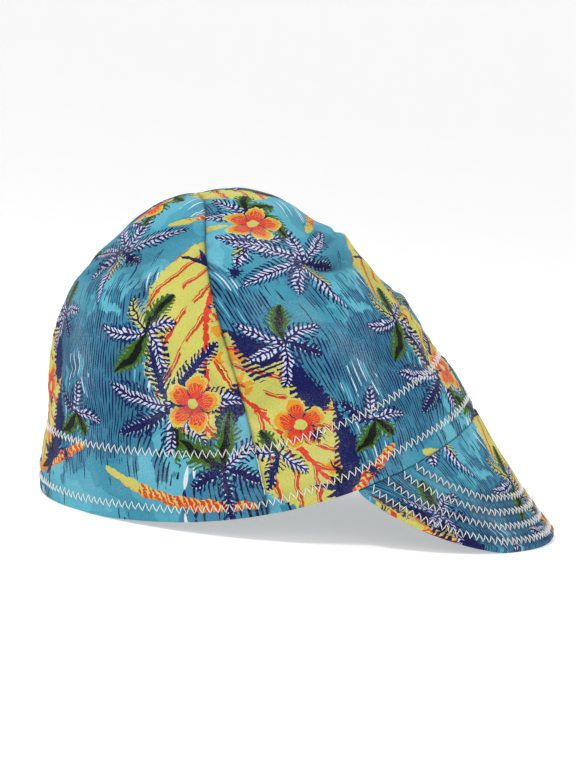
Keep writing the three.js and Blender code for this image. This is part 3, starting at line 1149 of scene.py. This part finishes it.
def gore_sections(middle):
    seam = middle + np.linspace(-1, 1, ACROSS + 1)[:, None] * math.pi / GORES
    lowest = level_above(seam, HEM_ROLL)
    climb = np.linspace(0, 1, UPWARDS + 1)[None, :]
    level = lowest + (TOP_LEVEL - lowest) * climb
    angle = np.broadcast_to(seam, level.shape)
    forms = fine_forms(angle, level, plain_crown(angle, level))
    fine, hollow = fine_relief(forms, level), hollows(forms)
    outer = crown_points(angle, level, 0, fine)
    thick_hem = 1 - soft_step(height_on_cloth(angle, level), 8, 13)
    inner = crown_points(angle, level, CLOTH_FINE + (2 * HEM_ROLL - CLOTH_FINE) * thick_hem, fine)
    roll_height = HEM_ROLL * (1 - np.sin(ROLL_TURNS))[None, :]
    roll_depth = HEM_ROLL * (1 + np.cos(ROLL_TURNS))[None, :]
    roll_level = level_above(seam + 0 * roll_height, roll_height + 0 * seam)
    roll = crown_points(seam + 0 * roll_level, roll_level, roll_depth, fine[:, :1])
    hollow = np.concatenate([hollow, hollow[:, ::-1], 0 * roll_level], 1)
    return np.concatenate([outer, inner[:, ::-1], roll], 1), outer, hollow


print("points in a section of a gore", 2 * (UPWARDS + 1) + len(ROLL_TURNS))

# %% [markdown]
# A panel of cloth is cut flat. The box of a curved panel would come out too small, so its size is
# measured along the surface: upwards from the hem, across from its middle, and its area face by
# face. The same lengths are the chart for the print.

# %% Measuring cloth
def measured(outer):
    up = np.cumsum(np.linalg.norm(np.diff(outer, axis=1), axis=-1), 1)
    up = np.concatenate([np.zeros((len(outer), 1)), up], 1)
    across = np.linalg.norm(np.diff(outer, axis=0), axis=-1)
    across = np.concatenate([np.zeros((1, outer.shape[1])), np.cumsum(across, 0)], 0)
    across -= across[len(outer) // 2]
    return across, up


def face_area(points):
    first = points[1:, 1:] - points[:-1, :-1]
    second = points[1:, :-1] - points[:-1, 1:]
    return float(np.linalg.norm(np.cross(first, second), axis=-1).sum() / 2)


square = np.array([[(0.0, 0, 0), (0, 10, 0)], [(10, 0, 0), (10, 10, 0)]])
print("area of a square of 10 mm", face_area(square))

# %% [markdown]
# Where each gore was cut from the printed cloth, in millimetres, decides what it shows. One chart
# over the whole crown would carry the print across the seams, which no sewn cap does. Four cutting
# places break it at each seam. Each gore replaces its solid, which is hidden. A gore is held
# stretched, because it is sewn in on its sides.

# %% The gores
GORE_CUTS = {
    # name: across and up on the printed cloth
    "front_left": (310.0, 40.0),
    "back_left": (-205.0, 130.0),
    "back_right": (0.0, 0.0),
    "front_right": (6.0, 20.0),
}


def gore_chart(outer, ring, cut):
    across, up = measured(outer)
    flat = np.stack([across, np.broadcast_to(up[len(up) // 2], across.shape)], -1)
    rolled = np.repeat(flat[:, :1], ring - 2 * outer.shape[1], 1)
    chart = np.concatenate([flat, flat[:, ::-1], rolled], 1)
    wide, tall = float((across[-1] - across[0]).max()), float(up.max())
    return (chart + np.array(cut)) / CHART_SIZE, (wide / 1000, tall / 1000)


for number, (name, cut) in enumerate(GORE_CUTS.items()):
    sections, outer, hollow = gore_sections((number + 0.5) * 2 * math.pi / GORES)
    chart, size = gore_chart(outer, sections.shape[1], cut)
    gore = cloth_piece(
        f"printed_gore_{name}", sections, chart, False, UPWARDS + 1, [printed, reverse], UPWARDS, hollow
    )
    area = face_area(outer)
    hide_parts(f"gore_{name}")
    print(name, "flat mm", [round(1000 * side, 1) for side in size], "cm2", round(area / 100, 1))

# %% [markdown]
# The sweatband is a folded strip inside the hem. A ring of thin boxes would do where nobody looks,
# but the inside shows from below. So it is a closed ring with round edges that follows the hem, a
# little further in where the bill's seam allowance goes up.

# %% The sweatband's sections
BAND_STEPS = 288
BAND_SETBACK = 1.0
BAND_ROWS = 15
BAND_RADIUS = 93


def tongue_room(angle):
    beyond = np.abs(np.arctan2(np.sin(angle), np.cos(angle))) / spread
    return 1.5 * (1 - soft_step(beyond, 1.04, 1.2))


def band_sections():
    angle = np.linspace(0, 2 * math.pi, BAND_STEPS, endpoint=False)[:, None]
    half = BAND_CLOTH / 2
    height = np.linspace(BAND_SETBACK + half, BAND_HEIGHT - half, BAND_ROWS)
    top = BAND_HEIGHT - half + half * np.sin(ROLL_TURNS)
    low = BAND_SETBACK + half - half * np.sin(ROLL_TURNS)
    over, under = half - half * np.cos(ROLL_TURNS), half + half * np.cos(ROLL_TURNS)
    heights = np.concatenate([height, top, height[::-1], low])[None, :]
    depths = np.concatenate([0 * height, over, 0 * height + BAND_CLOTH, under])[None, :]
    level = level_above(angle + 0 * heights, heights + 0 * angle)
    points = crown_points(angle + 0 * level, level, BAND_DEPTH + tongue_room(angle) + depths)
    round_hem = np.cumsum(np.full((BAND_STEPS, 1), 2 * math.pi * BAND_RADIUS / BAND_STEPS), 0)
    return points, np.stack([round_hem + 0 * level, heights + 0 * level], -1) / CHART_SIZE


print("more room over the bill, mm", float(tongue_room(0.0)))

# %% [markdown]
# The ring closes on itself, so it has no ends to shut. It could have a plain cloth of its own, but
# the photograph doesn't show any, so it wears the back of the print like the rest of the inside.
# Its length is also measured along the ring, which stops one step short of once round.

# %% The sweatband
sections, chart = band_sections()
sweatband = cloth_piece("folded_sweatband", sections, chart, True, 0, [reverse], 0, 0 * chart[..., 0])
around, out = measured(sections[:, :BAND_ROWS])
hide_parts("sweatband")

# %% [markdown]
# The bill is several plies of cloth, 3 mm thick in all, that slope down from the hem. It could be
# modelled flat and bent, but bending doesn't know the table. Here its width is worked out at each
# angle from where the slope meets the table, a little short at the middle, where the edge is clear.

# %% The bill's slope
HALF_PLY = BILL_THICKNESS / 2
slope_out, slope_up = math.cos(droop), -math.sin(droop)
face_out, face_up = math.sin(droop), math.cos(droop)


def bill_width(angle):
    outward = crown_normal(angle, 0 * angle)
    taper = np.maximum(0, 1 - (angle / spread) ** 2) ** 0.9
    root = plain_crown(angle, 0 * angle) + outward * (-HALF_PLY * face_out)
    root[..., 2] += -SEAM_GAP - HALF_PLY * face_up
    fall = math.sin(droop) * math.cos(pitch) - outward[..., 0] * math.cos(droop) * math.sin(pitch)
    rounded = BILL_ROUND * bell(np.degrees(angle), BILL_ROUND_ARC)
    return taper, np.maximum(np.minimum(BILL_WIDTH * taper, above_table(root) / fall) - rounded, 0.2)


def bill_points(angle, share, side, fine=0.0, beyond=0.0):
    angle, share = np.broadcast_arrays(np.asarray(angle, float), np.asarray(share, float))
    taper, width = bill_width(angle)
    half = np.minimum(HALF_PLY, 0.5 * width)
    along = share * (width - half) + beyond * half
    level = side * half + side * np.asarray(fine) - BILL_CURL * taper * 4 * share * (1 - share)
    out = -HALF_PLY * face_out + along * slope_out + level * face_out
    up = -SEAM_GAP - HALF_PLY * face_up + along * slope_up + level * face_up
    outward = crown_normal(angle, 0 * angle)
    return plain_crown(angle, 0 * angle) + outward * out[..., None] + np.array([0, 0, 1]) * up[..., None]


print("bill width at its middle, mm", round(float(bill_width(np.zeros(1))[1][0]), 1))

# %% [markdown]
# Four rows of stitches follow the bill's edge, and the padding swells between them. A bump map would
# show it face on, but not on the outline. So the distance to the edge is measured at each point of
# the face, and from it come the rows, the soft rolls between them and fine cockles beside them.

# %% The quilting
BILL_STEPS = 264
BILL_ROWS = 72
QUILT_ROWS = [5.0, 12.2, 19.4, 26.6]
bill_angle = np.linspace(-0.997, 0.997, BILL_STEPS + 1) * spread
bill_share = np.linspace(0, 1, BILL_ROWS + 1)


def edge_distance():
    face = bill_points(bill_angle[:, None], bill_share[None, :], 1)
    edge = bill_points(bill_angle, 1.0, 0, 0.0, 1.0)
    distance = np.full(face.shape[:2], 1e9)
    for point in edge:
        distance = np.minimum(distance, np.linalg.norm(face - point, axis=-1))
    return face, distance


bill_flat, from_edge = edge_distance()
spacing = QUILT_ROWS[1] - QUILT_ROWS[0]
inner_row = QUILT_ROWS[-1]
nearest_row = np.min([np.abs(from_edge - row) for row in QUILT_ROWS], axis=0)
quilt = soft_step(nearest_row, 1.7, 3.5) + 0.4 * soft_step(from_edge - inner_row, 2.5, 9)
cockle = ripple(bill_flat, 5.5, 21) * bell(nearest_row, 3.5)
quilt = (0.55 * quilt + 0.12 * cockle + 0.12 * ripple(bill_flat, 16, 23)) * soft_step(from_edge, 0, 3)
print("rows", round(spacing, 1), "mm apart, face to edge at most", round(float(from_edge.max()), 1), "mm")

# %% [markdown]
# A section of the bill goes up the seam allowance, down the upper face, round the edge and back
# under. As one ring it stays closed, and the edge stays round, which a Bevel modifier would have to
# find again after each change.

# %% The bill's sections
TONGUE_HEIGHT = 8
TONGUE_CLOTH = 1.2
TONGUE_DEPTH = 1.8
TONGUE_SHARES = np.array([[1, 0.5, 0]])
EDGE_TURNS = np.radians([70, 45, 20, 0, -20, -45, -70])


def tongue(side, depth):
    allowance = level_above(side, TONGUE_HEIGHT) * TONGUE_SHARES
    points = crown_points(side + 0 * allowance, allowance, depth)
    points[:, -1, 2] -= SEAM_GAP
    return points


def bill_sections():
    side = bill_angle[:, None]
    upper = bill_points(side, bill_share[None, :], 1, quilt)
    under = bill_points(side, bill_share[None, :], -1, 0.6 * quilt)
    edge = [bill_points(side, 1.0, math.sin(turn), 0.0, math.cos(turn)) for turn in EDGE_TURNS]
    upper = np.concatenate([tongue(side, TONGUE_DEPTH), upper], 1)
    under = np.concatenate([tongue(side, TONGUE_DEPTH + TONGUE_CLOTH), under], 1)
    return upper, under, np.concatenate(edge, 1)


upper, under, edge = bill_sections()
sections = np.concatenate([under[:, ::-1], upper, edge], 1)
print("points in a section of the bill", sections.shape[1])

# %% [markdown]
# The bill is cut from the same print, at a place of its own. Its lower face could wear the back of
# the cloth as the inside of the crown does, but a bill is sewn face to face and turned over, so both
# its faces show the printed side. Painted shade darkens it along the stitches, where the cloth is drawn
# in, and in the dips of the cockles beside them.

# %% The bill
BILL_CUT = np.array([55.0, 125.0])
around, out = measured(upper)
flat_chart = np.stack([around, -out], -1)
edge_chart = np.repeat(flat_chart[:, -1:], edge.shape[1], 1)
edge_chart[..., 1] -= np.linspace(0.3, 2.2, edge.shape[1])[None, :]
chart = (np.concatenate([flat_chart[:, ::-1], flat_chart, edge_chart], 1) + BILL_CUT) / CHART_SIZE
# painted shade along the quilting rows and in the cockles' dips
painted_quilt_shade = 0.45 * (1 - soft_step(nearest_row, 1.7, 3.6)) + np.maximum(-cockle, 0) * 0.3
painted_quilt_shade = np.concatenate([np.zeros((len(painted_quilt_shade), TONGUE_SHARES.size)), painted_quilt_shade], 1)
hollow = np.clip(np.concatenate([painted_quilt_shade[:, ::-1], painted_quilt_shade, 0 * edge[..., 0]], 1), 0, 1)
bill = cloth_piece("quilted_bill", sections, chart, False, upper.shape[1], [printed, printed], 0, hollow)
bill_area = face_area(upper)
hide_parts("bill")

# %% [markdown]
# Stitches repeat along a path, which is what Geometry Nodes are for. This small helper writes such a
# tree: first a node's settings, then what goes into its sockets, by number or by name.

# %% Writing a tree
class Tree:
    def __init__(self, name):
        self.tree = bpy.data.node_groups.new(name, "GeometryNodeTree")

    def given(self, name, kind, default=None):
        socket = self.tree.interface.new_socket(name, in_out="INPUT", socket_type=kind)
        if default is not None:
            socket.default_value = default

    def node(self, kind, fed=None, **settings):
        made = self.tree.nodes.new(kind)
        for name, value in settings.items():
            setattr(made, name, value)
        for socket, value in (fed or {}).items():
            if isinstance(value, bpy.types.NodeSocket):
                self.tree.links.new(value, made.inputs[socket])
            else:
                made.inputs[socket].default_value = value
        return made

    def maths(self, operation, first, second=0.0):
        return self.node("ShaderNodeMath", {0: first, 1: second}, operation=operation).outputs[0]

    def direction(self, name, share):
        stored = self.node("GeometryNodeInputNamedAttribute", {"Name": name}, data_type="FLOAT_VECTOR")
        fed = {0: stored.outputs["Attribute"], "Scale": share}
        return self.node("ShaderNodeVectorMath", fed, operation="SCALE").outputs["Vector"]


# %% [markdown]
# A zigzag machine swings its needle from side to side while the cloth moves on. Each stitch could be
# one small tube, placed as an instance, but the thread is one thread. So the row is a line of points
# with two directions: side, across the row in the cloth, and out, away from the cloth. The line is
# cut to quarter stitches. Every second point swings to a side, and those between rise, because a
# tight thread lies over the cloth and dips in at its ends.

# %% A tree for zigzag thread
GIVEN_SIZES = {
    # name: metres, or a share
    "Quarter stitch": 0.00087,
    "Swing": 0.0019,
    "Rise": 0.0004,
    "Dip": 0.0002,
    "Thread radius": 0.00021,
    "Least swing": 0.82,
    "Most swing": 1.12,
}
THREAD_SIDES = 6


def zigzag_tree():
    art = Tree("zigzag_thread")
    art.given("Row", "NodeSocketGeometry")
    for name, value in GIVEN_SIZES.items():
        art.given(name, "NodeSocketFloat", value)
    art.given("Seed", "NodeSocketInt", 4)
    art.given("Material", "NodeSocketMaterial")
    art.tree.interface.new_socket("Thread", in_out="OUTPUT", socket_type="NodeSocketGeometry")
    given = art.node("NodeGroupInput").outputs
    line = art.node("GeometryNodeMeshToCurve", {0: given["Row"]}).outputs[0]
    cut = art.node("GeometryNodeResampleCurve", {0: line, "Length": given["Quarter stitch"]}, mode="LENGTH")
    phase = art.maths("MULTIPLY", art.node("GeometryNodeInputIndex").outputs[0], math.pi / 2)
    limits = {2: given["Least swing"], 3: given["Most swing"], "Seed": given["Seed"]}
    chance = art.node("FunctionNodeRandomValue", limits, data_type="FLOAT").outputs[1]
    swing = art.maths("MULTIPLY", art.maths("COSINE", phase), given["Swing"])
    swing = art.maths("MULTIPLY", swing, chance)
    between = art.maths("ABSOLUTE", art.maths("SINE", phase))
    rise = art.maths("MULTIPLY", between, art.maths("ADD", given["Rise"], given["Dip"]))
    rise = art.maths("SUBTRACT", rise, given["Dip"])
    moves = {0: art.direction("side", swing), 1: art.direction("out", rise)}
    moves = art.node("ShaderNodeVectorMath", moves, operation="ADD").outputs["Vector"]
    moved = art.node("GeometryNodeSetPosition", {0: cut.outputs[0], "Offset": moves}).outputs[0]
    sizes = {0: THREAD_SIDES, "Radius": given["Thread radius"]}
    profile = art.node("GeometryNodeCurvePrimitiveCircle", sizes).outputs[0]
    tube = art.node("GeometryNodeCurveToMesh", {0: moved, 1: profile, "Fill Caps": True}).outputs[0]
    smooth = art.node("GeometryNodeSetShadeSmooth", {0: tube}).outputs[0]
    real = art.node("GeometryNodeRealizeInstances", {0: smooth}).outputs[0]
    dressed = art.node("GeometryNodeSetMaterial", {0: real, "Material": given["Material"]}).outputs[0]
    art.node("NodeGroupOutput", {0: dressed})
    return art.tree


zigzag = zigzag_tree()
print("zigzag tree nodes", len(zigzag.nodes))

# %% [markdown]
# A row becomes a mesh line with its two directions, gets the tree as a modifier, and is turned into a
# plain mesh.

# %% Sewing a row
def sew(name, points, out, closed, **sizes):
    side = unit(np.cross(out, np.gradient(points, axis=0)))
    row = bpy.data.meshes.new(name + "_row")
    count = len(points)
    links = [(i, i + 1) for i in range(count - 1)] + ([(count - 1, 0)] if closed else [])
    row.from_pydata(on_table(points).tolist(), links, [])
    origin = on_table(np.zeros(3))
    for label, directions in (("side", side), ("out", out)):
        turned = unit(on_table(directions) - origin)
        row.attributes.new(label, "FLOAT_VECTOR", "POINT").data.foreach_set("vector", turned.ravel())
    guide = bpy.data.objects.new(name, row)
    bpy.context.scene.collection.objects.link(guide)
    modifier = guide.modifiers.new("stitches", "NODES")
    modifier.node_group = zigzag
    given = {item.name: item.identifier for item in modifier.node_group.interface.items_tree}
    modifier[given["Material"]] = white_thread
    for label, value in sizes.items():
        modifier[given[label.replace("_", " ")]] = value
    dg = bpy.context.evaluated_depsgraph_get()
    mesh = bpy.data.meshes.new_from_object(guide.evaluated_get(dg))
    guide.modifiers.clear()
    guide.data = mesh
    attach(guide, "root")
    print(name, "row mm", round(float(np.linalg.norm(np.diff(points, axis=0), axis=1).sum()), 1), end=" ")
    print("triangles", sum(len(face.vertices) - 2 for face in mesh.polygons))
    return guide


# %% [markdown]
# The two rows round the hem run at the heights of their tables. A Shrinkwrap modifier could lay them
# on the cloth, but the function that made the cloth gives each point exactly, a little above it, so
# that the thread lies on the cloth.

# %% The crown's rows
ROW_STEPS = 720
THREAD_LIFT = 0.12


def crown_row(name, rows, seed):
    angle = np.linspace(0, 2 * math.pi, ROW_STEPS + 1)[:-1]
    level = level_above(angle, row_height(rows, angle))
    points = crown_points(angle, level, -THREAD_LIFT, fine_at(angle, level))
    sew(name, points, crown_normal(angle, level), True, Seed=seed)


crown_row("thread_at_hem", HEM_ROW, 4)
crown_row("thread_at_band", BAND_ROW, 9)

# %% [markdown]
# A zigzag shows on both faces of the bill, so each of its four rows is sewn above and below. Their
# paths could be offset curves of the outline. The distance to the edge is known at each point of the
# face already, so the row is where that distance has the row's value.

# %% The bill's thread
def quilt_row(name, distance, side, seed):
    places = []
    for number, reach in enumerate(from_edge):
        if reach.max() > distance > reach.min():
            places.append((number, float(np.interp(-distance, -reach, bill_share))))
    numbers, share = (np.array(values) for values in zip(*places))
    turn = bill_angle[numbers]
    fine = np.array([np.interp(b, bill_share, quilt[a]) for a, b in places]) * (1 if side > 0 else 0.6)
    points = bill_points(turn, share, side, fine + THREAD_LIFT)
    outward = crown_normal(turn, 0 * turn) * face_out
    outward[:, 2] = face_up
    sew(name, points, side * outward, False, Seed=seed)


for number, distance in enumerate(QUILT_ROWS):
    quilt_row(f"thread_on_bill_{number}", distance, 1, 20 + number)
    quilt_row(f"thread_under_bill_{number}", distance, -1, 30 + number)

# %% [markdown]
# Between the two rows, a running stitch holds each side seam to the sweatband. It shows as a few
# dots. They could be small beads, but a thread that dips into the cloth and comes up again looks
# sewn. So the same tree makes them, with hardly any swing and longer stitches.

# %% Dots along the side seams
DOTS_FROM = 9
DOTS_TO = 27
DOT_POINTS = 60


def seam_dots(name, angle, seed):
    height = np.linspace(DOTS_FROM, DOTS_TO, DOT_POINTS)
    turn = np.full(DOT_POINTS, angle)
    level = level_above(turn, height)
    points = crown_points(turn, level, -0.02, fine_at(turn, level))
    sew(name, points, crown_normal(turn, level), False, Seed=seed, Quarter_stitch=0.00135, Swing=0.0001)


seam_dots("thread_side_right", -math.pi / 2, 41)
seam_dots("thread_side_left", math.pi / 2, 43)

# %% [markdown]
# The photograph was taken from the cap's right side, a little above, with a long lens, so that lines
# hardly converge. The camera could be placed by eye in the table's frame. It is simpler in the cap's
# own: square to its side, 9 degrees above the hem, and rolled until the hem lies as it should.

# %% The camera
LOOKS_DOWN = 9
ROLL = 10.2
LENS = 100
SENSOR = 36
DISTANCE = 1.004
PICTURE_HEIGHT = 768
MOVED_ACROSS = 30
MOVED_UP = 65
down, turned = math.radians(LOOKS_DOWN), math.radians(ROLL)
to_camera = Vector((0, -math.cos(down), math.sin(down)))
upright = Vector((0, math.sin(down), math.cos(down)))
rightwards = math.cos(turned) * Vector((1, 0, 0)) - math.sin(turned) * upright
upwards = math.sin(turned) * Vector((1, 0, 0)) + math.cos(turned) * upright
facing = Matrix((rightwards, upwards, to_camera)).transposed().to_4x4()
hem_middle = Vector(on_table(np.zeros(3)).tolist())
camera = bpy.data.objects.new("camera", bpy.data.cameras.new("camera"))
bpy.context.scene.collection.objects.link(camera)
camera.data.lens = LENS
camera.data.sensor_width = SENSOR
camera.data.shift_x = MOVED_ACROSS / PICTURE_HEIGHT
camera.data.shift_y = MOVED_UP / PICTURE_HEIGHT
lean = Matrix.Translation(hem_middle) @ Matrix.Rotation(-pitch, 4, "Y")
camera.matrix_world = lean @ facing @ Matrix.Translation((0, 0, DISTANCE))
bpy.context.scene.camera = camera
print("camera in metres", [round(v, 3) for v in camera.matrix_world.translation])

# %% [markdown]
# The cap stands on a pale floor. A plane would end in a horizon, so this floor curves up all round
# into a wall, as a photographer's paper does. It glows a little, because such paper is lit by itself.

# %% The floor
FLAT_RADIUS = 1.4
CURVE_RADIUS = 1.4
CURVE_STEPS = 12
WALL_TOP = 2.6
FLOOR_SIDES = 96
PAPER = {
    "Base Color": (0.76, 0.76, 0.76, 1),
    "Emission Color": (1, 1, 1, 1),
    "Emission Strength": 0.4,
    "Roughness": 0.9,
    "Specular IOR Level": 0.1,
}


def floor_rings():
    profile = [(0.6, 0.0), (FLAT_RADIUS, 0.0)]
    for step in range(1, CURVE_STEPS + 1):
        turn = step / CURVE_STEPS * math.pi / 2
        out, up = CURVE_RADIUS * math.sin(turn), CURVE_RADIUS * (1 - math.cos(turn))
        profile.append((FLAT_RADIUS + out, up))
    return profile + [(FLAT_RADIUS + CURVE_RADIUS, WALL_TOP)]


def studio_floor(profile):
    turns = [2 * math.pi * i / FLOOR_SIDES for i in range(FLOOR_SIDES)]
    points = [(0.0, 0.0, 0.0)]
    points += [(r * math.cos(turn), r * math.sin(turn), height) for r, height in profile for turn in turns]
    faces = [(0, 1 + i, 1 + (i + 1) % FLOOR_SIDES) for i in range(FLOOR_SIDES)]
    for ring in range(len(profile) - 1):
        for i in range(FLOOR_SIDES):
            a, b = 1 + ring * FLOOR_SIDES + i, 1 + ring * FLOOR_SIDES + (i + 1) % FLOOR_SIDES
            faces.append((a, a + FLOOR_SIDES, b + FLOOR_SIDES, b))
    mesh = bpy.data.meshes.new("floor")
    mesh.from_pydata(points, [], faces)
    mesh.polygons.foreach_set("use_smooth", [True] * len(faces))
    paper = bpy.data.materials.new("floor_paper")
    paper.use_nodes = True
    for name, value in PAPER.items():
        paper.node_tree.nodes["Principled BSDF"].inputs[name].default_value = value
    mesh.materials.append(paper)
    floor = bpy.data.objects.new("floor", mesh)
    bpy.context.scene.collection.objects.link(floor)
    print("floor faces", len(faces))


studio_floor(floor_rings())

# %% [markdown]
# A soft cap needs soft light, but folds show only where light comes from one side. So one lamp leads
# from high above the back, a weak one in front fills the bill's shade, and one on the far side lights
# what the camera doesn't see. Even light from all round lifts the rest.

# %% The lamps
LAMP_AIM = Vector((0, 0, 0.06))
WORLD_LIGHT = 0.2
LAMPS = [
    # name, place, size, watts
    ("key", (-0.45, -0.5, 1.6), 0.4, 14.0),
    ("fill", (1.1, -0.9, 0.7), 0.9, 1.6),
    ("rear", (0.2, 1.1, 1.2), 1.0, 3.5),
]
for name, place, size, watts in LAMPS:
    lamp = bpy.data.objects.new(name, bpy.data.lights.new(name, "AREA"))
    lamp.data.energy = watts
    lamp.data.size = size
    lamp.location = place
    lamp.rotation_mode = "QUATERNION"
    lamp.rotation_quaternion = (LAMP_AIM - Vector(place)).to_track_quat("-Z", "Y")
    bpy.context.scene.collection.objects.link(lamp)
world = bpy.data.worlds.new("studio")
bpy.context.scene.world = world
world.use_nodes = True
world.node_tree.nodes["Background"].inputs["Color"].default_value = (1, 1, 1, 1)
world.node_tree.nodes["Background"].inputs["Strength"].default_value = WORLD_LIGHT
bpy.context.scene.view_settings.view_transform = "Standard"
print("lamps", len(LAMPS), "and an even light of", WORLD_LIGHT)
